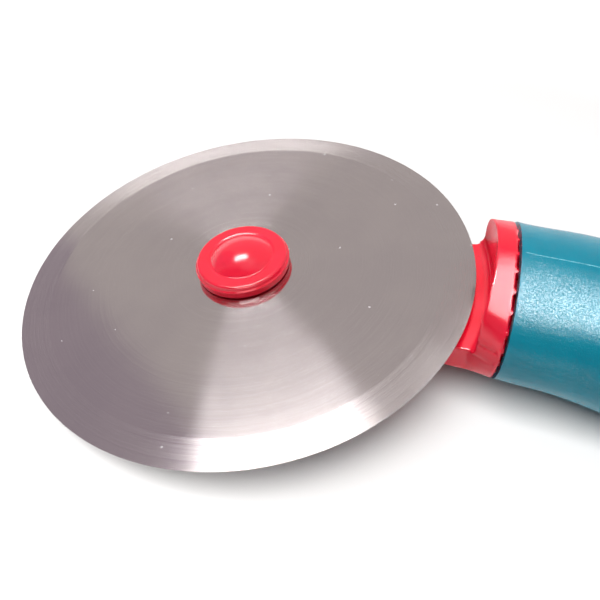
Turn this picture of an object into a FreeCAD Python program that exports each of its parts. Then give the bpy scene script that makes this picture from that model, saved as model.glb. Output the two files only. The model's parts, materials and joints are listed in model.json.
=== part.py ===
import FreeCAD, Part
import math
import os

from FreeCAD import Rotation, Vector

# A pizza cutter lying on a table, in millimetres.
# It is modelled in the tool's own frame and laid down at the end: the wheel's middle plane is Z = 0,
# the rivet's axis is Z, and the handle points along +X.

# Cutting wheel
wheel_radius = 45.0
wheel_thickness = 1.2
bevel_width = 5.65
cutting_edge = 0.12

# Hub
axle_radius = 2.5
running_clearance = 0.05
bush_wall = 1.45
bush_stand = 0.35
bush_flange_radius = 6.2
bush_flange_thickness = 0.5
washer_thickness = 0.5
upper_washer_radius = 4.2
head_radius = 4.6
head_height = 1.3
head_crown = 0.5
tail_radius = 3.9
tail_height = 0.9
rivet_washer_radius = 4.9
rivet_washer_thickness = 0.6

# Hub cap
cap_radius = 9.4
cap_gap = 0.25
cap_ridge_height = 1.75
cap_ring_height = 2.9
cap_side_draft = 0.1
cap_edge_width = 0.5
cap_groove_depth = 0.18
cap_groove_width = 0.45
dome_radius = 6.2
dome_height = 2.2
cap_wall = 1.2
snap_lip = 0.25

# Neck
floor_drop = 1.3
boss_pad_radius = 7.2
boss_radius = 9.5
boss_depth = 4.2
boss_edge_round = 1.2
recess_clearance = 0.5
recess_depth = 1.9
pocket_clearance = 3.1
pocket_fillet = 1.5
arm_width_at_hub = 17.0
arm_width_at_rim = 27.0
arm_depth_at_rim = 6.6
arm_rim_inset = 3.6
arm_corner = 1.6
core_wall = 2.2
core_floor = 2.2
core_rib = 2.2
core_start = 13.0
core_end_wall = 5.5
core_corner = 1.0
collar_wall = 1.5
collar_squareness = 2.8
collar_height_taper = 0.3
cheek_angle = 14.0
cheek_corner_angles = (25.0, 60.0)
seam_height = 2.6
seam_reach = 3.6
seam_width = 0.3
seam_depth = 0.25

# Joint of the neck and the handle
joint_drop = 2.25
joint_lean = 8.8
joint_gap = 0.55
joint_step = 0.2
plug_length = 22.0
plug_draft = 0.9
socket_wall = 2.1
socket_end_gap = 0.5
rib_height = 0.75
rib_width = 0.9
rib_pairs = 12
rib_clearance = 0.03
rib_foot_inset = 0.25
rib_foot_gap = 0.12

# Handle
handle_length = 108.0
joint_width = 33.0
joint_thickness = 24.1
palm_distance = 36.0
palm_width = 36.4
palm_thickness = 26.2
tail_distance = 92.0
tail_width = 27.0
tail_thickness = 18.6
tail_round = 13.0
front_bend_radius = 100.0
front_bend_length = 24.0
back_bend_radius = 330.0
hang_hole_radius = 4.0
hang_hole_inset = 12.0
hang_hole_round = 1.2
handle_stations = 10
round_stations = 4
round_reach = 82.0

# Heights of the hub stack, from the wheel outwards
face = wheel_thickness / 2
floor_level = -face - floor_drop
bush_bore = axle_radius + running_clearance
bush_radius = bush_bore + bush_wall
bush_top = face + bush_stand
upper_washer_level = bush_top + running_clearance
head_level = upper_washer_level + washer_thickness
flange_level = -face - bush_flange_thickness
lower_washer_top = flange_level - running_clearance
pad_level = lower_washer_top - washer_thickness
boss_bottom = floor_level - boss_depth
recess_level = boss_bottom + recess_depth
pocket_radius = wheel_radius + pocket_clearance
arm_rim_station = pocket_radius - arm_rim_inset
joint_distance = pocket_radius + collar_wall
lean = math.radians(joint_lean)

# How far in from the corner of a square the middle of its quarter circle lies
diagonal = 1 - math.sqrt(0.5)

# Points through which a quarter of a squarer oval, or a piece of the joint's oval, is drawn
piece_points = 7

# Points at which the grip's underside and the hole's mouths are measured
under_samples = 200
mouth_samples = 60


def turned(points):
    """A solid of revolution about Z from a closed outline of (radius, height) corners."""
    outline = Part.makePolygon([Vector(r, 0, z) for r, z in points + points[:1]])
    return Part.Face(outline).revolve(Vector(0, 0, 0), Vector(0, 0, 1), 360)


def ring(inner, outer, bottom, top):
    """A plain washer or sleeve about Z."""
    return turned([(inner, bottom), (outer, bottom), (outer, top), (inner, top)])


def line(start, end):
    """A straight edge between two (radius, height) points."""
    return Part.LineSegment(Vector(start[0], 0, start[1]), Vector(end[0], 0, end[1])).toShape()


def bow(start, middle, end):
    """A circular edge through three (radius, height) points."""
    return Part.Arc(*[Vector(r, 0, z) for r, z in (start, middle, end)]).toShape()


def spun(edges):
    """A solid of revolution about Z from joined edges."""
    return Part.Face(Part.Wire(edges)).revolve(Vector(0, 0, 0), Vector(0, 0, 1), 360)


def crown(radius, height, level):
    """The middle and end points of a low dome on a level, which hangs if its height is negative."""
    ball = (radius ** 2 + height ** 2) / (2 * height)
    half = radius / 2
    sag = ball - math.copysign(math.sqrt(ball ** 2 - half ** 2), ball)
    return (half, level + height - sag), (radius, level)


def cutting_wheel():
    """The disc, thinned by a bevel on both faces to its cutting edge."""
    flat = wheel_radius - bevel_width
    edge = cutting_edge / 2
    upper = [(bush_radius, face), (flat, face), (wheel_radius, edge)]
    return turned(upper + [(r, -z) for r, z in reversed(upper)])


def hub_bush():
    """The sleeve in the wheel's bore, with its flange on the arm's side."""
    sleeve = ring(bush_bore, bush_radius, flange_level, bush_top)
    flange = ring(bush_bore, bush_flange_radius, flange_level, -face)
    return sleeve.fuse(flange).removeSplitter()


def upper_washer():
    """The washer under the rivet's head."""
    return ring(axle_radius + running_clearance, upper_washer_radius, upper_washer_level, head_level)


def lower_washer():
    """The washer on the arm's pad."""
    return ring(axle_radius + running_clearance, bush_flange_radius, pad_level, lower_washer_top)


def rivet_washer():
    """The washer that the rivet's tail is peened over."""
    bottom = recess_level - rivet_washer_thickness
    return ring(axle_radius + running_clearance, rivet_washer_radius, bottom, recess_level)


def axle_rivet():
    """Shank, crowned head and peened tail, turned in one outline."""
    head_edge = head_level + head_height - head_crown
    head_middle, head_rim = crown(head_radius, head_crown, head_edge)
    tail_top = recess_level - rivet_washer_thickness
    tail_middle, tail_rim = crown(tail_radius, -tail_height, tail_top)
    head_apex = (0, head_edge + head_crown)
    tail_apex = (0, tail_top - tail_height)
    return spun([
        bow(head_apex, head_middle, head_rim),
        line(head_rim, (head_radius, head_level)),
        line((head_radius, head_level), (axle_radius, head_level)),
        line((axle_radius, head_level), (axle_radius, tail_top)),
        line((axle_radius, tail_top), tail_rim),
        bow(tail_rim, tail_middle, tail_apex),
        line(tail_apex, head_apex),
    ])


def hub_cap():
    """The cap: a dome in a flat ring, a rounded edge, and a snap lip under the rivet's head."""
    bottom = face + cap_gap
    ridge = (cap_radius, face + cap_ridge_height)
    ring_level = face + cap_ring_height
    ring_edge = (cap_radius - cap_edge_width, ring_level)
    shoulder = (cap_radius - cap_edge_width * diagonal, ring_level - (ring_level - ridge[1]) * diagonal)
    dome_middle, dome_rim = crown(dome_radius, dome_height, ring_level - cap_groove_depth)
    dome_apex = (0, ring_level - cap_groove_depth + dome_height)
    groove_edge = (dome_radius + cap_groove_width, ring_level)
    foot = (cap_radius - cap_side_draft, bottom)
    socket = head_radius + running_clearance
    lip = head_radius - snap_lip
    lip_top = head_level - running_clearance
    hollow_level = head_level + head_height
    hollow_height = dome_apex[1] - cap_wall - hollow_level
    hollow_middle, hollow_rim = crown(socket, hollow_height, hollow_level)
    hollow_apex = (0, hollow_level + hollow_height)
    return spun([
        bow(dome_apex, dome_middle, dome_rim),
        line(dome_rim, groove_edge),
        line(groove_edge, ring_edge),
        bow(ring_edge, shoulder, ridge),
        line(ridge, foot),
        line(foot, (lip, bottom)),
        line((lip, bottom), (lip, lip_top)),
        line((lip, lip_top), (socket, lip_top)),
        line((socket, lip_top), hollow_rim),
        bow(hollow_rim, hollow_middle, hollow_apex),
        line(hollow_apex, dome_apex),
    ])


def bend(start, heading, curvature, distance):
    """The point and heading at a distance along an arc in the XZ plane."""
    end = heading + curvature * distance
    x = start[0] + (math.sin(end) - math.sin(heading)) / curvature
    z = start[1] - (math.cos(end) - math.cos(heading)) / curvature
    return (x, z), end


def spine(distance):
    """The point and heading of the grip's centre line at a distance behind the joint."""
    joint = (joint_distance, -joint_drop)
    front = min(distance, front_bend_length)
    point, heading = bend(joint, -lean, -1 / front_bend_radius, front)
    if distance > front_bend_length:
        point, heading = bend(point, heading, 1 / back_bend_radius, distance - front_bend_length)
    return point, heading


def on_section(point, heading, across, up):
    """A point of a cross-section that is square to the centre line."""
    return Vector(point[0] - up * math.sin(heading), across, point[1] + up * math.cos(heading))


def oval(point, heading, half_width, half_height):
    """An elliptical section square to the centre line, in four quarters."""
    middle = on_section(point, heading, 0, 0)
    side = on_section(point, heading, half_width, 0)
    top = on_section(point, heading, 0, half_height)
    ellipse = Part.Ellipse(side, top, middle)
    turns = [math.pi / 2 * quarter for quarter in range(5)]
    return Part.Wire([Part.ArcOfEllipse(ellipse, *ends).toShape() for ends in zip(turns, turns[1:])])


def squarer_oval(point, heading, half_width, half_height, squareness):
    """A section like the oval but fuller at its corners, in the same four quarters."""
    quarters = []
    for quarter in range(4):
        corners = []
        for step in range(piece_points):
            turn = math.pi / 2 * (quarter + step / (piece_points - 1))
            across = math.cos(turn)
            up = math.sin(turn)
            size = abs(across / half_width) ** squareness + abs(up / half_height) ** squareness
            reach = size ** (-1 / squareness)
            corners.append(on_section(point, heading, reach * across, reach * up))
        along = [on_section((0, 0), heading, -math.sin(turn), math.cos(turn))
                 for turn in (math.pi / 2 * quarter, math.pi / 2 * (quarter + 1))]
        curve = Part.BSplineCurve()
        curve.interpolate(Points=corners, InitialTangent=along[0], FinalTangent=along[1])
        quarters.append(curve.toShape())
    return Part.Wire(quarters)


def eased(distance, joint_size, palm_size, tail_size):
    """A grip size that swells from the joint to the palm and narrows to the tail."""
    if distance < palm_distance:
        share = distance / palm_distance
        first, last = joint_size, palm_size
    else:
        share = min(1.0, (distance - palm_distance) / (tail_distance - palm_distance))
        first, last = palm_size, tail_size
    return first + (last - first) * (3 - 2 * share) * share ** 2


def grip_oval(distance):
    """The grip's section at a distance behind the joint, drawn in at the rounded tail."""
    point, heading = spine(distance)
    past = max(0.0, distance - (handle_length - tail_round)) / tail_round
    drawn_in = math.sqrt(1 - past ** 2)
    half_width = eased(distance, joint_width, palm_width, tail_width) / 2 * drawn_in
    half_height = eased(distance, joint_thickness, palm_thickness, tail_thickness) / 2 * drawn_in
    return oval(point, heading, half_width, half_height)


def plug_envelope(growth, start, end):
    """The tapered space of the plug's ribs, grown by a clearance."""
    ovals = []
    for distance in (start, end):
        point = (joint_distance + distance * math.cos(lean), -joint_drop - distance * math.sin(lean))
        inset = socket_wall + plug_draft * distance / plug_length - growth
        ovals.append(oval(point, -lean, joint_width / 2 - inset, joint_thickness / 2 - inset))
    return Part.makeLoft(ovals, True, True)


def handle():
    """The grip: a lofted oval with the plug's socket in front and a hanging hole in the tail."""
    straight = handle_length - tail_round
    pitch = (straight - joint_gap) / (handle_stations - 1)
    stations = [joint_gap + pitch * step for step in range(handle_stations)]
    for step in range(1, round_stations + 1):
        turn = math.radians(round_reach * step / round_stations)
        stations.append(straight + tail_round * math.sin(turn))
    body = Part.makeLoft([grip_oval(station) for station in stations], True, False)
    socket = plug_envelope(rib_clearance, -joint_gap, plug_length + socket_end_gap)
    body = body.cut(socket).cut(hang_hole())
    return body.makeFillet(hang_hole_round, hole_mouths(body))


def hole_place():
    """The middle and the axis of the hanging hole, square to the grip's broad faces."""
    point, heading = spine(handle_length - hang_hole_inset)
    return on_section(point, heading, 0, 0), on_section((0, 0), heading, 0, 1)


def hang_hole():
    """The round hole through the tail."""
    middle, axis = hole_place()
    return Part.makeCylinder(hang_hole_radius, 2 * tail_thickness, middle - axis * tail_thickness, axis)


def hole_walls(grip):
    """The walls of the hanging hole, which are the grip's only round faces."""
    return [wall for wall in grip.Faces if isinstance(wall.Surface, Part.Cylinder)]


def hole_mouths(grip):
    """The edges where the hanging hole meets the grip's broad faces."""
    edges = [edge for wall in hole_walls(grip) for edge in wall.Edges]
    return [edge for edge in edges if not isinstance(edge.Curve, Part.Line)]


def hole_wall_length(grip):
    """The longest stretch of the hole's wall between its rounded mouths."""
    axis = hole_place()[1]
    points = [point for edge in hole_mouths(grip) for point in edge.discretize(mouth_samples)]
    heights = [point.dot(axis) for point in points]
    return max(heights) - min(heights)


def arm_half_width(x):
    """Half the arm's width, which widens evenly from the hub to the rim."""
    return (arm_width_at_hub + (arm_width_at_rim - arm_width_at_hub) * x / arm_rim_station) / 2


def arm_section(x, half_width, depth):
    """The arm's section: a flat top at the pocket floor and rounded lower corners."""
    bottom = floor_level - depth
    corner = arm_corner * diagonal

    def at(across, level):
        return Vector(x, across, level)

    def side(sign):
        top = at(sign * half_width, floor_level)
        return Part.LineSegment(top, at(sign * half_width, bottom + arm_corner))

    def rounding(sign):
        return Part.Arc(at(sign * half_width, bottom + arm_corner),
                        at(sign * (half_width - corner), bottom + corner),
                        at(sign * (half_width - arm_corner), bottom))

    base = Part.LineSegment(at(half_width - arm_corner, bottom), at(arm_corner - half_width, bottom))
    lid = Part.LineSegment(at(-half_width, floor_level), at(half_width, floor_level))
    curves = (side(1), rounding(1), base, rounding(-1), side(-1), lid)
    return Part.Wire([curve.toShape() for curve in curves])


def joint_arc(start, end):
    """A piece of the collar's oval at the joint between two angles in degrees."""
    corners = []
    for step in range(piece_points):
        turn = math.radians(start + (end - start) * step / (piece_points - 1))
        across = (joint_width / 2 - joint_step / 2) * math.cos(turn)
        up = (joint_thickness / 2 - joint_step / 2) * math.sin(turn)
        corners.append(on_section((joint_distance, -joint_drop), -lean, across, up))
    curve = Part.BSplineCurve()
    curve.interpolate(corners)
    return curve.toShape()


def cheek_section():
    """The lower part of the collar's oval, in as many pieces as the arm's section."""
    upper, lower = cheek_corner_angles
    turns = [cheek_angle, -upper, -lower, lower - 180, upper - 180, -180 - cheek_angle]
    pieces_round = [joint_arc(start, end) for start, end in zip(turns, turns[1:])]
    first = pieces_round[0].valueAt(pieces_round[0].FirstParameter)
    last = pieces_round[-1].valueAt(pieces_round[-1].LastParameter)
    return Part.Wire(pieces_round + [Part.LineSegment(last, first).toShape()])


def collar_reach():
    """How far the collar comes forward of the joint, to just past the pocket's wall."""
    return joint_distance - math.sqrt(pocket_radius ** 2 - (joint_width / 2) ** 2) + pocket_fillet


def collar_band(inset):
    """A squarer oval as wide as the arm, eased into the grip's oval, drawn in by an inset."""
    joint = (joint_distance, -joint_drop)
    reach = collar_reach()
    front = (joint[0] - reach * math.cos(lean), joint[1] + reach * math.sin(lean))
    half_width = joint_width / 2 - joint_step - inset
    half_height = joint_thickness / 2 - joint_step - inset
    front_width = arm_width_at_rim / 2 - inset
    front_oval = squarer_oval(front, -lean, front_width, half_height - collar_height_taper, collar_squareness)
    return Part.makeLoft([front_oval, oval(joint, -lean, half_width, half_height)], True, True)


def collar():
    """The band behind the pocket, above the level of the arm's floor."""
    reach = collar_reach()
    below = Part.makeBox(4 * reach, 2 * joint_width, joint_thickness)
    below.translate(Vector(joint_distance - 2 * reach, -joint_width, floor_level - joint_thickness))
    return collar_band(0).cut(below)


def collar_seam():
    """The shallow line along both sides of the collar, above its cheeks."""
    low = seam_height - seam_width / 2
    slab = Part.makeBox(seam_reach, 2 * joint_width, seam_width, Vector(-seam_reach, -joint_width, low))
    slab.rotate(Vector(0, 0, 0), Vector(0, 1, 0), joint_lean)
    slab.translate(Vector(joint_distance, 0, -joint_drop))
    return slab.cut(collar_band(seam_depth))


def pocket():
    """The space that the wheel turns in, with a rounded foot."""
    top = joint_thickness + joint_distance
    foot = pocket_radius - pocket_fillet
    corner = pocket_fillet * diagonal
    return spun([
        line((0, floor_level), (foot, floor_level)),
        bow((foot, floor_level), (pocket_radius - corner, floor_level + corner),
            (pocket_radius, floor_level + pocket_fillet)),
        line((pocket_radius, floor_level + pocket_fillet), (pocket_radius, top)),
        line((pocket_radius, top), (0, top)),
        line((0, top), (0, floor_level)),
    ])


def coring(side):
    """A moulding recess in the arm's underside, on one side of its middle rib."""
    inner = side * core_rib / 2
    end = arm_rim_station - core_end_wall
    outline = [
        Vector(core_start, inner, 0),
        Vector(end, inner, 0),
        Vector(end, side * (arm_half_width(end) - core_wall), 0),
        Vector(core_start, side * (arm_half_width(core_start) - core_wall), 0),
    ]
    face_shape = Part.Face(Part.makePolygon(outline + outline[:1]))
    depth = boss_depth + arm_depth_at_rim
    block = face_shape.extrude(Vector(0, 0, -depth))
    block.translate(Vector(0, 0, floor_level - core_floor))
    uprights = [edge for edge in block.Edges if abs(edge.tangentAt(edge.FirstParameter).z) > 0.9]
    return block.makeFillet(core_corner, uprights)


def plug():
    """The tang in the handle: a tapered core with pairs of ribs, which end in feet in the joint's gap."""
    core = plug_envelope(-rib_height, -joint_gap, plug_length)
    feet = plug_envelope(socket_wall - rib_foot_inset, -joint_gap, joint_gap - rib_foot_gap)
    envelope = plug_envelope(0, 0, plug_length).fuse(feet)
    middle = Vector(joint_distance, 0, -joint_drop)
    reach = 2 * joint_width
    for pair in range(rib_pairs):
        turn = math.pi * pair / rib_pairs
        slope = math.atan2(joint_thickness * math.sin(turn), joint_width * math.cos(turn))
        slab = Part.makeBox(reach, reach, rib_width, Vector(-reach / 2, -reach / 2, -rib_width / 2))
        slab.rotate(Vector(0, 0, 0), Vector(1, 0, 0), math.degrees(slope))
        slab.rotate(Vector(0, 0, 0), Vector(0, 1, 0), joint_lean)
        slab.translate(middle)
        core = core.fuse(envelope.common(slab))
    return core


def neck_arm():
    """The red moulding: arm, hub boss, collar with the wheel's pocket, and plug."""
    hub_end = arm_section(0, arm_width_at_hub / 2, boss_depth)
    rim_end = arm_section(arm_rim_station, arm_width_at_rim / 2, arm_depth_at_rim)
    arm = Part.makeLoft([hub_end, rim_end, cheek_section()], True, True)
    boss = Part.makeCylinder(boss_radius, boss_depth, Vector(0, 0, boss_bottom))
    lower_rim = [edge for edge in boss.Edges if edge.BoundBox.ZMax < floor_level - boss_depth / 2]
    boss = boss.makeFillet(boss_edge_round, lower_rim)
    body = arm.fuse([boss, collar()]).cut(pocket())
    body = body.fuse(ring(axle_radius, boss_pad_radius, floor_level, pad_level))
    for side in (1, -1):
        body = body.cut(coring(side))
    body = body.cut(collar_seam())
    bore = Part.makeCylinder(axle_radius + running_clearance, 2 * boss_depth, Vector(0, 0, boss_bottom))
    recess_radius = rivet_washer_radius + recess_clearance
    recess = Part.makeCylinder(recess_radius, 2 * recess_depth, Vector(0, 0, recess_level - 2 * recess_depth))
    return body.cut(bore).cut(recess).fuse(plug()).removeSplitter()


def rest_tilt():
    """The angle at which the rim and the grip's underside both touch the table."""
    steepest = 0.0
    for step in range(under_samples):
        distance = joint_gap + (handle_length - tail_round - joint_gap) * step / under_samples
        point, heading = spine(distance)
        half_height = eased(distance, joint_thickness, palm_thickness, tail_thickness) / 2
        under = on_section(point, heading, 0, -half_height)
        steepest = max(steepest, math.atan2(-cutting_edge / 2 - under.z, under.x + wheel_radius))
    return math.degrees(steepest)


pieces = {
    "cutting_wheel": cutting_wheel(),
    "hub_bush": hub_bush(),
    "upper_washer": upper_washer(),
    "lower_washer": lower_washer(),
    "axle_rivet": axle_rivet(),
    "rivet_washer": rivet_washer(),
    "hub_cap": hub_cap(),
    "neck_arm": neck_arm(),
    "handle": handle(),
}

# Lay the tool on the table: handle end raised to the rest angle, standing on Z = 0, centred over the origin
tilt = rest_tilt()
upright = FreeCAD.Placement(Vector(0, 0, 0), Rotation(Vector(0, 1, 0), -tilt))
laid = Part.Compound([shape.transformed(upright.toMatrix(), True) for shape in pieces.values()])
box = laid.optimalBoundingBox(False)
shift = Vector(-(box.XMin + box.XMax) / 2, -(box.YMin + box.YMax) / 2, -box.ZMin)
rest = FreeCAD.Placement(shift, upright.Rotation)

os.makedirs("parts", exist_ok=True)
for name, shape in pieces.items():
    shape.transformed(rest.toMatrix(), True).exportStep("parts/" + name + ".step")
    print(name, "solids", len(shape.Solids), "volume", round(shape.Volume, 1), "valid", shape.isValid())

hole_middle, hole_axis = hole_place()
hole_length = hole_wall_length(pieces["handle"])
print("rest tilt", round(tilt, 3), "box", [round(v, 2) for v in (box.XLength, box.YLength, box.ZLength)])
print("wheel centre", rest.multVec(Vector(0, 0, 0)), "axis", rest.Rotation.multVec(Vector(0, 0, 1)))
print("hang hole", rest.multVec(hole_middle), "hole axis", rest.Rotation.multVec(hole_axis))
print("hole wall", round(hole_length, 2))
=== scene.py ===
import json
import math

import bmesh
import bpy
from mathutils import Matrix, Vector


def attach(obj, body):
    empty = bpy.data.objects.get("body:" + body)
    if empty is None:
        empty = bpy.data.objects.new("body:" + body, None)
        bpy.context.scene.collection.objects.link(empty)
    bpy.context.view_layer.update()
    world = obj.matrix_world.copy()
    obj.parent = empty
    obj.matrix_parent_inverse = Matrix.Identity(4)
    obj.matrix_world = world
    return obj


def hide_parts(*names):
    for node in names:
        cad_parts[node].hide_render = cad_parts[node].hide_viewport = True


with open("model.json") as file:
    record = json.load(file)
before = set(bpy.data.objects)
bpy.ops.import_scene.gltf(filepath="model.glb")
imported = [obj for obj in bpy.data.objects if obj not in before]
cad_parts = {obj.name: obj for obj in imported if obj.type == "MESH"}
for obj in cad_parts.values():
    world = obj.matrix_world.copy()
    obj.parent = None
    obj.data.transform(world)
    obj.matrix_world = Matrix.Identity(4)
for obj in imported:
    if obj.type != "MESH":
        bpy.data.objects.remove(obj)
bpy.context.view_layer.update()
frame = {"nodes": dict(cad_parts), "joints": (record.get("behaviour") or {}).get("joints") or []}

MM = 0.001
micron_digits = 6

# The wheel's own frame: its middle on the joint, Z along the rivet, X towards the handle
spin = frame["joints"][0]
hub = Vector(spin["pos_m"])
axle = Vector(spin["axis"]).normalized()
side = Vector((0, 1, 0))
along = side.cross(axle).normalized()
wheel_frame = Matrix.Translation(hub) @ Matrix((along, side, axle)).transposed().to_4x4()


def about_rivet(node):
    """The radius and height of each point of a solid about the rivet, to the micron."""
    to_wheel = wheel_frame.inverted()
    points = [to_wheel @ corner.co for corner in frame["nodes"][node].data.vertices]
    return [(round(point.xy.length, micron_digits), round(point.z, micron_digits)) for point in points]


# Camera of the photograph, in the wheel's frame
camera_place = Vector((45.0, -86.87, 90.29)) * MM
camera_aim = Vector((-0.2546, 0.6398, -0.7251))
camera_roll = math.radians(-10.92)
camera_clip = 10 * MM
picture_size = 600
focal_pixels = 660.0
sensor_width = 36.0

# Cutting wheel: the sizes of its solid, with the start of each bevel eased
disc = about_rivet("cutting_wheel")
wheel_bore = min(radius for radius, height in disc)
wheel_radius = max(radius for radius, height in disc)
wheel_face = max(height for radius, height in disc)
bevel_start = max(radius for radius, height in disc if height == wheel_face)
edge_half = max(height for radius, height in disc if radius == wheel_radius)
bevel_ease = 0.35 * MM

# Hub cap: heights are from the middle of the disc
cap_foot = min(height for radius, height in about_rivet("hub_cap"))
cap_foot_inset = 0.22 * MM
cap_foot_ease = 0.2 * MM
cap_radius = 9.4 * MM
cap_top = 3.5 * MM
cap_edge_width = 0.5 * MM
cap_edge_ease = 0.45 * MM
dome_radius = 6.2 * MM
dome_height = 2.2 * MM
dome_foot_ease = 0.25 * MM
groove_depth = 0.18 * MM
groove_width = 0.45 * MM
groove_ease = 0.2 * MM
lip_radius = 4.35 * MM
lip_top = 1.45 * MM
hollow_radius = 4.65 * MM
hollow_level = 2.8 * MM
hollow_height = 1.52 * MM

# The fine ridge round the cap's side: rises and drops are from its middle, insets from its crest
ridge_middle = 2.35 * MM
ridge_rise = 0.16 * MM
ridge_drop = 0.12 * MM
ridge_ease = 0.13 * MM
upper_root_rise = 0.32 * MM
upper_root_inset = 0.25 * MM
upper_root_ease = 0.12 * MM
lower_root_drop = 0.3 * MM
lower_root_inset = 0.2 * MM
lower_root_ease = 0.1 * MM

# Joint of collar and grip, in the wheel's frame
joint_distance = 49.6 * MM
joint_drop = 2.25 * MM
joint_lean = math.radians(8.8)
joint_overlap = 0.01 * MM
plug_share = 0.965

# Grip, drawn in so that the parting line on its crest stays inside the solid
grip_inset = 0.07 * MM
bead_start = -6.6 * MM
bead_end = 78.0 * MM
bead_width = 0.2 * MM

# Fineness of the meshes
disc_segments = 360
cap_segments = 200
corner_steps = 5
crown_steps = 32
bead_steps = 240
bead_sides = 12
skin_depth = 8
skin_share = 0.915
weld_distance = 0.001 * MM
fold = math.radians(30)
grip_fold = math.radians(35)

# Lamps: level rectangles over the hub, with places and sizes as shares of their height
lamp_height = 0.9
watts_for_radiance = 4
fill_lamp = {"place": (-0.1, 0.08), "size": (0.5, 0.6), "radiance": 5.7}
table_lamp = {"place": (-0.2, -0.45), "size": (0.8, 0.7), "radiance": 16.0}
cap_lamp = {"place": (0.25, -1.15), "size": (1.2, 0.7), "radiance": 4.0}
strip_lamp = {"place": (-0.43, 0.323), "size": (0.48, 0.23), "turn": math.radians(20)}
strip_on_paint = 5.0
strip_in_gloss = 80.0

# White card: its corners from above, in mm, and the stretches over which its light changes
card_corners = [(-13, -62), (3, -58), (6, -39), (60, -39), (60, 42), (2, 58), (-13, 58)]
card_height = 80 * MM
card_tolerance = 0.1 * MM
skirt_foot = 31 * MM
neck_to_grip = (0.0, 8 * MM)
neck_fade = (12 * MM, 54 * MM)
neck_radiance = 10.0
grip_fade = (-20 * MM, 42 * MM)
grip_radiance = 17.0

# Table and room: the table's lengths in metres, the room's directions as parts of a unit vector
table_reach = 3.0
table_whitens = (0.1, 0.22)
table_in_gloss = 0.3
wall_corner = math.radians(141)
corner_blur = 0.03
behind_camera = (-0.3, 0.1)
shade_rise = (0.0, 0.5)
white_rise = (0.05, 0.2)

# Tones of the studio, in linear light
white = (1.0, 1.0, 1.0, 1.0)
black = (0.0, 0.0, 0.0, 1.0)
table_as_light = (0.33, 0.326, 0.324, 1.0)
table_as_seen = (0.44, 0.436, 0.434, 1.0)
skirt_tone = (0.45, 0.43, 0.43, 1.0)
pale_wall = (0.56, 0.525, 0.515, 1.0)
cool_wall = (0.40, 0.35, 0.395, 1.0)
low_shade = (0.28, 0.27, 0.27, 1.0)
high_shade = (0.18, 0.17, 0.17, 1.0)


def link(piece):
    """Puts a new object into the scene."""
    bpy.context.scene.collection.objects.link(piece)
    return piece


def smooth(mesh):
    """Smooth shading on every face."""
    mesh.polygons.foreach_set("use_smooth", [True] * len(mesh.polygons))


def lathe(name, profile, segments):
    """A closed profile of (radius, height) points turned about the rivet."""
    shape = bmesh.new()
    rings = []
    turns = [2 * math.pi * step / segments for step in range(segments)]
    for radius, height in profile:
        if radius == 0:
            rings.append([shape.verts.new((0, 0, height))] * segments)
            continue
        circle = [(radius * math.cos(turn), radius * math.sin(turn), height) for turn in turns]
        rings.append([shape.verts.new(point) for point in circle])
    for lower, upper in zip(rings, rings[1:] + rings[:1]):
        for step in range(segments):
            after = (step + 1) % segments
            corners = [lower[step], lower[after], upper[after], upper[step]]
            corners = list(dict.fromkeys(corners))
            if len(corners) > 2:
                shape.faces.new(corners)
    bmesh.ops.recalc_face_normals(shape, faces=shape.faces)
    mesh = bpy.data.meshes.new(name)
    shape.to_mesh(mesh)
    shape.free()
    mesh.transform(wheel_frame)
    smooth(mesh)
    mesh.set_sharp_from_angle(angle=fold)
    return link(bpy.data.objects.new(name, mesh))


def rounded(corner, before, after, reach):
    """Points that round a corner of a profile between its two neighbours."""
    corner, before, after = Vector(corner), Vector(before), Vector(after)
    start = corner + (before - corner).normalized() * reach
    end = corner + (after - corner).normalized() * reach
    points = []
    for step in range(corner_steps + 1):
        share = step / corner_steps
        rest = 1 - share
        points.append(tuple(start * rest ** 2 + corner * 2 * share * rest + end * share ** 2))
    return points


def softened(outline, reaches):
    """A closed profile whose corners are rounded by the given reaches, 0 for a sharp one."""
    points = []
    for place, (corner, reach) in enumerate(zip(outline, reaches)):
        if reach == 0:
            points.append(corner)
            continue
        before = outline[place - 1]
        after = outline[(place + 1) % len(outline)]
        points.extend(rounded(corner, before, after, reach))
    return points


def wheel_piece():
    """The disc with its two bevels and a fine break at each bevel's start."""
    upper = [(wheel_bore, wheel_face), (bevel_start, wheel_face), (wheel_radius, edge_half)]
    outline = upper + [(radius, -height) for radius, height in reversed(upper)]
    reaches = [0, bevel_ease, 0, 0, bevel_ease, 0]
    return lathe("wheel_disc", softened(outline, reaches), disc_segments)


def crown(reach, rise, foot):
    """Points of a round crown from its top, on the rivet's line, out to its foot."""
    ball = (reach ** 2 + rise ** 2) / (2 * rise)
    radii = [reach * step / crown_steps for step in range(crown_steps + 1)]
    return [(radius, foot + rise - ball + math.sqrt(ball ** 2 - radius ** 2)) for radius in radii]


def cap_piece():
    """The cap: a low dome in a flat ring, whose edge slopes down to a fine ridge above the side."""
    outline = crown(dome_radius, dome_height, cap_top - groove_depth)
    reaches = [0] * (len(outline) - 1) + [dome_foot_ease]
    edge = [
        (dome_radius + groove_width, cap_top, groove_ease),
        (cap_radius - cap_edge_width, cap_top, cap_edge_ease),
        (cap_radius - upper_root_inset, ridge_middle + upper_root_rise, upper_root_ease),
        (cap_radius, ridge_middle + ridge_rise, ridge_ease),
        (cap_radius, ridge_middle - ridge_drop, ridge_ease),
        (cap_radius - lower_root_inset, ridge_middle - lower_root_drop, lower_root_ease),
        (cap_radius - cap_foot_inset, cap_foot, cap_foot_ease),
        (lip_radius, cap_foot, 0),
        (lip_radius, lip_top, 0),
        (hollow_radius, lip_top, 0),
    ]
    outline.extend((radius, height) for radius, height, reach in edge)
    reaches.extend(reach for radius, height, reach in edge)
    hollow = crown(hollow_radius, hollow_height, hollow_level)
    outline.extend(reversed(hollow))
    reaches.extend([0] * len(hollow))
    return lathe("cap_moulding", softened(outline, reaches), cap_segments)


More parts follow.
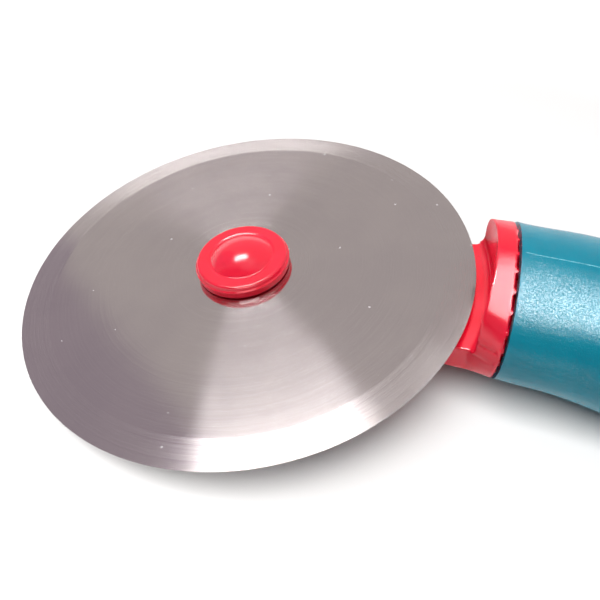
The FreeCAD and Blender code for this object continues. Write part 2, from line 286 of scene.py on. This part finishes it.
def mend(mesh):
    """Draws together the few short edges that more than two faces share."""
    shape = bmesh.new()
    shape.from_mesh(mesh)
    pinched = [edge for edge in shape.edges if len(edge.link_faces) > 2]
    bmesh.ops.collapse(shape, edges=pinched)
    shape.to_mesh(mesh)
    shape.free()


def moulding(name, node, inset=0.0):
    """A moulded piece from a node's solid: even faces, and edges broken as a mould leaves them."""
    piece = link(bpy.data.objects.new(name, frame["nodes"][node].data.copy()))
    weld = piece.modifiers.new("weld", "WELD")
    weld.merge_threshold = weld_distance
    skin = piece.modifiers.new("skin", "REMESH")
    skin.mode = "SHARP"
    skin.octree_depth = skin_depth
    skin.scale = skin_share
    skin.use_remove_disconnected = False
    ease = piece.modifiers.new("ease", "SMOOTH")
    ease.factor = 0.5
    ease.iterations = 1
    shrink = piece.modifiers.new("shrink", "DISPLACE")
    shrink.strength = -inset
    shrink.mid_level = 0.0
    bpy.context.view_layer.update()
    shown = piece.evaluated_get(bpy.context.evaluated_depsgraph_get())
    mesh = bpy.data.meshes.new_from_object(shown)
    piece.modifiers.clear()
    piece.data = mesh
    mend(mesh)
    smooth(mesh)
    return piece


def joint_plane():
    """A point of the plane where the collar ends, and the direction of the handle there."""
    place = wheel_frame @ Vector((joint_distance, 0, -joint_drop))
    heading = wheel_frame.to_3x3() @ Vector((math.cos(joint_lean), 0, -math.sin(joint_lean)))
    return place, heading


def neck_piece():
    """The arm, pocket and collar, ending at the joint."""
    piece = moulding("neck_moulding", "neck_arm")
    place, heading = joint_plane()
    shape = bmesh.new()
    shape.from_mesh(piece.data)
    whole = shape.verts[:] + shape.edges[:] + shape.faces[:]
    past = place + heading * joint_overlap
    bmesh.ops.bisect_plane(shape, geom=whole, plane_co=past, plane_no=heading, clear_outer=True)
    bmesh.ops.holes_fill(shape, edges=shape.edges[:])
    shape.to_mesh(piece.data)
    shape.free()
    mend(piece.data)
    return piece


def plug_piece():
    """The ribbed plug behind the joint, drawn in a little so that its rib feet lie deep in the gap."""
    mesh = frame["nodes"]["neck_arm"].data.copy()
    place, heading = joint_plane()
    shape = bmesh.new()
    shape.from_mesh(mesh)
    bmesh.ops.remove_doubles(shape, verts=shape.verts, dist=weld_distance)
    front = []
    for face in shape.faces:
        depths = [(corner.co - place).dot(heading) for corner in face.verts]
        if min(depths) < -weld_distance or max(depths) < weld_distance:
            front.append(face)
    bmesh.ops.delete(shape, geom=front, context="FACES")
    bmesh.ops.holes_fill(shape, edges=shape.edges[:])
    for corner in shape.verts:
        middle = place + heading * (corner.co - place).dot(heading)
        corner.co = middle.lerp(corner.co, plug_share)
    shape.to_mesh(mesh)
    shape.free()
    smooth(mesh)
    mesh.set_sharp_from_angle(angle=fold)
    return link(bpy.data.objects.new("neck_plug", mesh))


def crest_bead(grip):
    """The fine raised line on the crest of the grip, where its mould parts: a flat tube half sunk in it."""
    shape = bmesh.new()
    rings = []
    turns = [2 * math.pi * step / bead_sides for step in range(bead_sides)]
    across = Vector((0, bead_width / 2, 0))
    rise = Vector((0, 0, grip_inset))
    down = Vector((0, 0, -1))
    for step in range(bead_steps + 1):
        place = Vector((bead_start + (bead_end - bead_start) * step / bead_steps, 0, 0))
        crest = grip.ray_cast(place - down, down)[1]
        oval = [crest + across * math.cos(turn) + rise * math.sin(turn) for turn in turns]
        rings.append([shape.verts.new(point) for point in oval])
    for first, second in zip(rings, rings[1:]):
        for turn in range(bead_sides):
            shape.faces.new([first[turn - 1], second[turn - 1], second[turn], first[turn]])
    shape.faces.new(rings[0])
    shape.faces.new(rings[-1])
    bmesh.ops.recalc_face_normals(shape, faces=shape.faces)
    mesh = bpy.data.meshes.new("crest_bead")
    shape.to_mesh(mesh)
    shape.free()
    smooth(mesh)
    return link(bpy.data.objects.new("crest_bead", mesh))


class Net:
    """The node net of a material or world, with short ways to add and join nodes."""

    def __init__(self, owner, shader):
        owner.use_nodes = True
        self.owner = owner
        self.tree = owner.node_tree
        self.shader = self.tree.nodes[shader]

    def add(self, kind, **settings):
        """A new node."""
        node = self.tree.nodes.new(kind)
        for key, value in settings.items():
            setattr(node, key, value)
        return node

    def feed(self, socket, value):
        """Joins a socket to another one, or sets it to a plain value."""
        if isinstance(value, bpy.types.NodeSocket):
            self.tree.links.new(value, socket)
        else:
            socket.default_value = value

    def set(self, **values):
        """Feeds the inputs of the net's shader, each named with underscores for spaces."""
        for key, value in values.items():
            self.feed(self.shader.inputs[key.replace("_", " ")], value)

    def math(self, operation, first, second=0.0):
        """Arithmetic on two values."""
        node = self.add("ShaderNodeMath", operation=operation)
        self.feed(node.inputs[0], first)
        self.feed(node.inputs[1], second)
        return node.outputs[0]

    def vector(self, operation, first, second=(0, 0, 0)):
        """Arithmetic on two vectors."""
        node = self.add("ShaderNodeVectorMath", operation=operation)
        self.feed(node.inputs[0], first)
        self.feed(node.inputs[1], second)
        return node.outputs["Value" if operation in ("LENGTH", "DOT_PRODUCT") else "Vector"]

    def scaled(self, vector, amount):
        """A vector times a value."""
        node = self.add("ShaderNodeVectorMath", operation="SCALE")
        self.feed(node.inputs[0], vector)
        self.feed(node.inputs["Scale"], amount)
        return node.outputs["Vector"]

    def to_world(self, vector):
        """A direction on the object as one in the world."""
        node = self.add("ShaderNodeVectorTransform", vector_type="VECTOR")
        node.convert_from = "OBJECT"
        node.convert_to = "WORLD"
        self.feed(node.inputs[0], vector)
        return node.outputs[0]

    def split(self, vector):
        """The X, Y and Z of a vector."""
        node = self.add("ShaderNodeSeparateXYZ")
        self.feed(node.inputs[0], vector)
        return node.outputs

    def noise(self, vector, scale, detail=2.0, roughness=0.5):
        """Cloudy noise, with a scale in cells per metre."""
        node = self.add("ShaderNodeTexNoise")
        self.feed(node.inputs["Vector"], vector)
        node.inputs["Scale"].default_value = scale
        node.inputs["Detail"].default_value = detail
        node.inputs["Roughness"].default_value = roughness
        return node.outputs["Fac"]

    def bands(self, value, detail=2.0, roughness=0.5):
        """Noise along one value, which makes rings of a radius."""
        node = self.add("ShaderNodeTexNoise", noise_dimensions="1D")
        self.feed(node.inputs["W"], value)
        node.inputs["Scale"].default_value = 1.0
        node.inputs["Detail"].default_value = detail
        node.inputs["Roughness"].default_value = roughness
        return node.outputs["Fac"]

    def ramp(self, value, low, high, to=(0.0, 1.0)):
        """A smooth step from one result to another while the value goes from low to high."""
        node = self.add("ShaderNodeMapRange", interpolation_type="SMOOTHSTEP")
        self.feed(node.inputs["Value"], value)
        for key, number in zip(("From Min", "From Max", "To Min", "To Max"), (low, high, *to)):
            node.inputs[key].default_value = number
        return node.outputs["Result"]

    def mixed(self, factor, first, second):
        """A blend of two colours, whose sockets are taken by place because names repeat on this node."""
        node = self.add("ShaderNodeMix", data_type="RGBA")
        self.feed(node.inputs[0], factor)
        self.feed(node.inputs[6], first)
        self.feed(node.inputs[7], second)
        return node.outputs[2]

    def bump(self, height, distance, strength=1.0):
        """A normal that follows a height."""
        node = self.add("ShaderNodeBump")
        self.feed(node.inputs["Height"], height)
        node.inputs["Distance"].default_value = distance
        node.inputs["Strength"].default_value = strength
        return node.outputs["Normal"]

    def local(self):
        """The place on the object."""
        return self.add("ShaderNodeTexCoord").outputs["Object"]

    def seen(self, share):
        """1 where the camera looks, and a share of 1 where gloss does."""
        rays = self.add("ShaderNodeLightPath").outputs
        in_gloss = self.math("MULTIPLY", rays["Is Glossy Ray"], share)
        return self.math("MAXIMUM", rays["Is Camera Ray"], in_gloss)


def new_material(name):
    """A fresh material as a node net."""
    return Net(bpy.data.materials.new(name), "Principled BSDF")


def srgb(red, green, blue):
    """A colour from 0 to 255 levels as linear light, by the standard curve of screens."""
    levels = []
    for level in (red, green, blue):
        share = level / 255
        levels.append(share / 12.92 if share <= 0.04045 else ((share + 0.055) / 1.055) ** 2.4)
    return (*levels, 1.0)


def dust_specks(net, flat):
    """1 on a few small specks scattered over the wheel's plane, of differing sizes."""
    cells_per_metre = 110
    bare_cells = 0.45
    largest_speck = 0.026
    plane = net.add("ShaderNodeCombineXYZ")
    net.feed(plane.inputs[0], net.vector("DOT_PRODUCT", flat, along))
    net.feed(plane.inputs[1], net.vector("DOT_PRODUCT", flat, side))
    cells = net.add("ShaderNodeTexVoronoi", voronoi_dimensions="2D")
    net.feed(cells.inputs["Vector"], plane.outputs[0])
    cells.inputs["Scale"].default_value = cells_per_metre
    chance = net.add("ShaderNodeSeparateColor")
    net.feed(chance.inputs[0], cells.outputs["Color"])
    size = net.ramp(chance.outputs[0], bare_cells, 1.0, to=(0.0, largest_speck))
    return net.math("LESS_THAN", cells.outputs["Distance"], size)


def brushed_steel(name):
    """Polished steel with rings of fine scratches, denser on the ground bevel, and a few dust specks."""
    scratches_per_metre = 150000
    ripples_per_metre = 1800
    ripple_tilt = 0.02
    bevel_blend = 0.1 * MM
    bevel_scratches = 0.12
    dust_cover = 0.6
    net = new_material(name)
    local = net.vector("SUBTRACT", net.local(), hub)
    height = net.vector("DOT_PRODUCT", local, axle)
    flat = net.vector("SUBTRACT", local, net.scaled(tuple(axle), height))
    radius = net.vector("LENGTH", flat)
    outward = net.to_world(net.vector("NORMALIZE", flat))
    ground = net.ramp(radius, bevel_start - bevel_blend, bevel_start + bevel_blend)

    fine = net.bands(net.math("MULTIPLY", radius, scratches_per_metre), detail=1.0)
    broad = net.bands(net.math("MULTIPLY", radius, ripples_per_metre), detail=3.0, roughness=0.6)
    scratch = net.ramp(net.math("ADD", fine, net.math("MULTIPLY", ground, bevel_scratches)), 0.7, 0.78)
    tilt = net.math("MULTIPLY", net.math("SUBTRACT", broad, 0.5), ripple_tilt)
    geometry = net.add("ShaderNodeNewGeometry")
    lean = net.vector("ADD", geometry.outputs["Normal"], net.scaled(outward, tilt))
    net.set(Anisotropic=1.0, Normal=net.vector("NORMALIZE", lean), Tangent=outward)

    smudge = net.noise(local, scale=60, detail=4.0, roughness=0.6)
    dust = dust_specks(net, flat)
    steel = net.mixed(net.ramp(smudge, 0.35, 0.7), srgb(206, 198, 197), srgb(201, 193, 193))
    net.set(Base_Color=net.mixed(dust, steel, srgb(225, 220, 222)))
    net.set(Metallic=net.math("SUBTRACT", 1.0, net.math("MULTIPLY", dust, dust_cover)))
    polish = net.ramp(scratch, 0.0, 1.0, to=(0.063, 0.32))
    haze = net.ramp(smudge, 0.5, 0.8, to=(0.0, 0.02))
    net.set(Roughness=net.math("ADD", polish, haze))
    return net.owner


def red_moulding(name, roughness, shine, waviness):
    """Red plastic with the faint waviness of its mould."""
    net = new_material(name)
    local = net.local()
    cloud = net.noise(local, scale=180, detail=3.0)
    skin = net.noise(local, scale=2400)
    net.set(Base_Color=net.mixed(net.ramp(cloud, 0.3, 0.7), srgb(248, 12, 52), srgb(251, 17, 59)))
    net.set(Roughness=net.ramp(cloud, 0.3, 0.75, to=(roughness * 0.9, roughness * 1.15)))
    net.set(Normal=net.bump(skin, 0.02 * MM, waviness), Specular_IOR_Level=shine)
    net.set(Subsurface_Weight=0.04, Subsurface_Radius=(1.0, 0.2, 0.1), Subsurface_Scale=0.6 * MM)
    return net.owner


def teal_grain(name):
    """Teal plastic with a fine spark-eroded grain that glitters where it mirrors the light."""
    other_place = (0.1, 0.2, 0.3)
    net = new_material(name)
    local = net.local()
    grain = net.noise(local, scale=5200)
    glint = net.noise(net.vector("ADD", local, other_place), scale=6000, detail=1.0)
    cloud = net.noise(local, scale=150, detail=3.0)
    net.set(Base_Color=net.mixed(net.ramp(cloud, 0.3, 0.7), srgb(0, 138, 163), srgb(2, 144, 169)))
    net.set(Roughness=net.ramp(grain, 0.3, 0.7, to=(0.12, 0.24)))
    net.set(Normal=net.bump(grain, 0.05 * MM, strength=0.8))
    net.set(Specular_IOR_Level=net.ramp(glint, 0.42, 0.64, to=(0.12, 0.9)))
    return net.owner


def parting_teal(name):
    """Teal for the fine line where the mould parts, its colour painted paler as a painted highlight along
    the grip's crest.
    """
    net = new_material(name)
    mottle = net.noise(net.local(), scale=1400, detail=3.0, roughness=0.6)
    # The paler teal is a painted highlight along the crest, mottled by the noise.
    net.set(Base_Color=net.mixed(net.ramp(mottle, 0.35, 0.6), srgb(24, 152, 174), srgb(90, 182, 198)))
    net.set(Roughness=net.ramp(mottle, 0.3, 0.7, to=(0.3, 0.5)))
    net.set(Normal=net.bump(mottle, 0.04 * MM, strength=0.8))
    return net.owner


def plain_steel(name):
    """Bright turned steel for the hidden hub pieces."""
    flattened = (1, 1, 8)
    net = new_material(name)
    streak = net.noise(net.vector("MULTIPLY", net.local(), flattened), scale=900, detail=3.0)
    net.set(Metallic=1.0, Base_Color=srgb(200, 198, 195))
    net.set(Roughness=net.ramp(streak, 0.3, 0.7, to=(0.22, 0.38)))
    net.set(Normal=net.bump(streak, 0.01 * MM, strength=0.3))
    return net.owner


def natural_plastic(name):
    """The bush's unpainted plastic."""
    net = new_material(name)
    cloud = net.noise(net.local(), scale=500, detail=3.0)
    net.set(Base_Color=net.mixed(cloud, srgb(228, 225, 214), srgb(216, 212, 200)))
    net.set(Roughness=net.ramp(cloud, 0.3, 0.7, to=(0.45, 0.6)))
    return net.owner


def dress(piece, material):
    """One material over the whole piece."""
    piece.data.materials.clear()
    piece.data.materials.append(material)


def place_piece(piece, body, node, material):
    """Seats a new piece on its body, in place of a node and material."""
    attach(piece, body)
    if node:
        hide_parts(node)
    dress(piece, material)


def add_floor():
    """A wide table top that keeps the object's shadow and glows plain white further out."""
    mesh = bpy.data.meshes.new("table")
    near, far = -table_reach, table_reach
    mesh.from_pydata([(near, near, 0), (far, near, 0), (far, far, 0), (near, far, 0)], [], [(0, 1, 2, 3)])
    floor = link(bpy.data.objects.new("table", mesh))
    net = new_material("table_white")
    seen = net.seen(table_in_gloss)
    glow = net.ramp(net.vector("LENGTH", net.local()), *table_whitens)
    net.set(Base_Color=net.mixed(seen, table_as_light, table_as_seen))
    net.set(Roughness=0.9, Specular_IOR_Level=0.0)
    net.set(Emission_Color=white, Emission_Strength=net.mixed(seen, black, glow))
    dress(floor, net.owner)
    return floor


def add_world():
    """A pale room with a darker, cooler wall beyond a corner at the far left, and dim behind the camera.

    The camera itself sees plain white, and so does gloss that looks low along the table.
    """
    world = bpy.data.worlds.new("room")
    bpy.context.scene.world = world
    net = Net(world, "Background")
    view = net.split(net.add("ShaderNodeTexCoord").outputs["Generated"])
    turn = net.math("ARCTAN2", view["Y"], view["X"])
    past_corner = net.ramp(turn, wall_corner - corner_blur, wall_corner + corner_blur)
    walls = net.mixed(past_corner, pale_wall, cool_wall)
    behind = net.ramp(view["Y"], *behind_camera, to=(1.0, 0.0))
    shade = net.mixed(net.ramp(view["Z"], *shade_rise), low_shade, high_shade)
    seen = net.seen(net.ramp(view["Z"], *white_rise, to=(1.0, 0.0)))
    net.set(Color=net.mixed(seen, net.mixed(behind, walls, shade), white), Strength=1.0)


def lamp(name, place, size, radiance, turn=0.0):
    """A level rectangular lamp over the hub that shines down, as bright as its radiance says."""
    data = bpy.data.lights.new(name, "AREA")
    data.shape = "RECTANGLE"
    width, depth = size
    data.size = width * lamp_height
    data.size_y = depth * lamp_height
    data.energy = radiance * watts_for_radiance * data.size * data.size_y
    piece = link(bpy.data.objects.new(name, data))
    spot = hub + Vector((*place, 1.0)) * lamp_height
    piece.matrix_world = Matrix.Translation(spot) @ Matrix.Rotation(turn, 4, "Z")
    piece.visible_camera = False
    return piece


def light_only(source, piece, state):
    """Lets a lamp light only this piece, or all but it."""
    group = bpy.data.collections.new(source.name)
    group.objects.link(piece)
    group.collection_objects[0].light_linking.link_state = state
    source.light_linking.receiver_collection = group


def add_card():
    """A white card low over neck and grip that shows only in gloss, with a dim skirt towards the wheel."""
    corners = [(x * MM, y * MM, card_height) for x, y in card_corners]
    hem = [(x, y, skirt_foot) for x, y, z in (corners[0], corners[-1])]
    last = len(corners) - 1
    mesh = bpy.data.meshes.new("card")
    mesh.from_pydata(corners + hem, [], [range(last + 1), (0, last, last + 2, last + 1)])
    card = link(bpy.data.objects.new("card", mesh))
    net = new_material("card")
    place = net.split(net.local())
    over_grip = net.ramp(place["X"], *neck_to_grip)
    grip_light = net.ramp(place["Y"], *grip_fade, to=(grip_radiance, 0.0))
    neck_light = net.ramp(place["Y"], *neck_fade, to=(neck_radiance, 0.0))
    level = net.math("GREATER_THAN", place["Z"], card_height - card_tolerance)
    net.set(Base_Color=black, Specular_IOR_Level=0.0, Emission_Color=white)
    net.set(Emission_Strength=net.mixed(level, skirt_tone, net.mixed(over_grip, neck_light, grip_light)))
    dress(card, net.owner)
    card.visible_camera = False
    card.visible_diffuse = False
    card.visible_shadow = False


def add_lamps(table, cap):
    """The lamps: some only light paint and steel, and some only show in gloss."""
    fill = lamp("fill", **fill_lamp)
    fill.visible_glossy = False
    light_only(fill, table, "EXCLUDE")
    table_fill = lamp("table_fill", **table_lamp)
    table_fill.visible_glossy = False
    light_only(table_fill, table, "INCLUDE")
    cap_gloss = lamp("cap_gloss", **cap_lamp)
    cap_gloss.visible_diffuse = False
    light_only(cap_gloss, cap, "INCLUDE")
    strip = lamp("strip", radiance=strip_on_paint, **strip_lamp)
    strip.visible_glossy = False
    strip_gloss = lamp("strip_gloss", radiance=strip_in_gloss, **strip_lamp)
    strip_gloss.visible_diffuse = False


def add_camera():
    """The camera of the photograph."""
    data = bpy.data.cameras.new("camera")
    data.sensor_width = sensor_width
    data.clip_start = camera_clip
    data.lens = focal_pixels / picture_size * sensor_width
    camera = link(bpy.data.objects.new("camera", data))
    level = camera_aim.cross(Vector((0, 0, 1))).normalized()
    above = level.cross(camera_aim).normalized()
    pose = Matrix((level, above, -camera_aim.normalized())).transposed().to_4x4()
    rolled = pose @ Matrix.Rotation(camera_roll, 4, "Z")
    camera.matrix_world = wheel_frame @ Matrix.Translation(camera_place) @ rolled
    bpy.context.scene.camera = camera


# Pieces that take the place of the solids
grip = moulding("grip_moulding", "handle", grip_inset)
grip.data.set_sharp_from_angle(angle=grip_fold)
place_piece(grip, "frame", "handle", teal_grain("teal_plastic"))
place_piece(crest_bead(grip), "frame", None, parting_teal("teal_parting"))
red = red_moulding("red_plastic", roughness=0.2, shine=0.65, waviness=0.3)
place_piece(neck_piece(), "frame", "neck_arm", red)
place_piece(plug_piece(), "frame", "neck_arm", red)
place_piece(wheel_piece(), "wheel", "cutting_wheel", brushed_steel("spun_steel"))
cap = cap_piece()
glossy_red = red_moulding("red_gloss", roughness=0.1, shine=0.95, waviness=0.03)
place_piece(cap, "frame", "hub_cap", glossy_red)

# Solids that stay as they are
steel = plain_steel("plain_steel")
for node in ("upper_washer", "lower_washer", "axle_rivet", "rivet_washer"):
    dress(frame["nodes"][node], steel)
dress(frame["nodes"]["hub_bush"], natural_plastic("bush_plastic"))

# Studio
table = add_floor()
add_world()
add_lamps(table, cap)
add_card()
add_camera()
bpy.context.scene.view_settings.view_transform = "Standard"
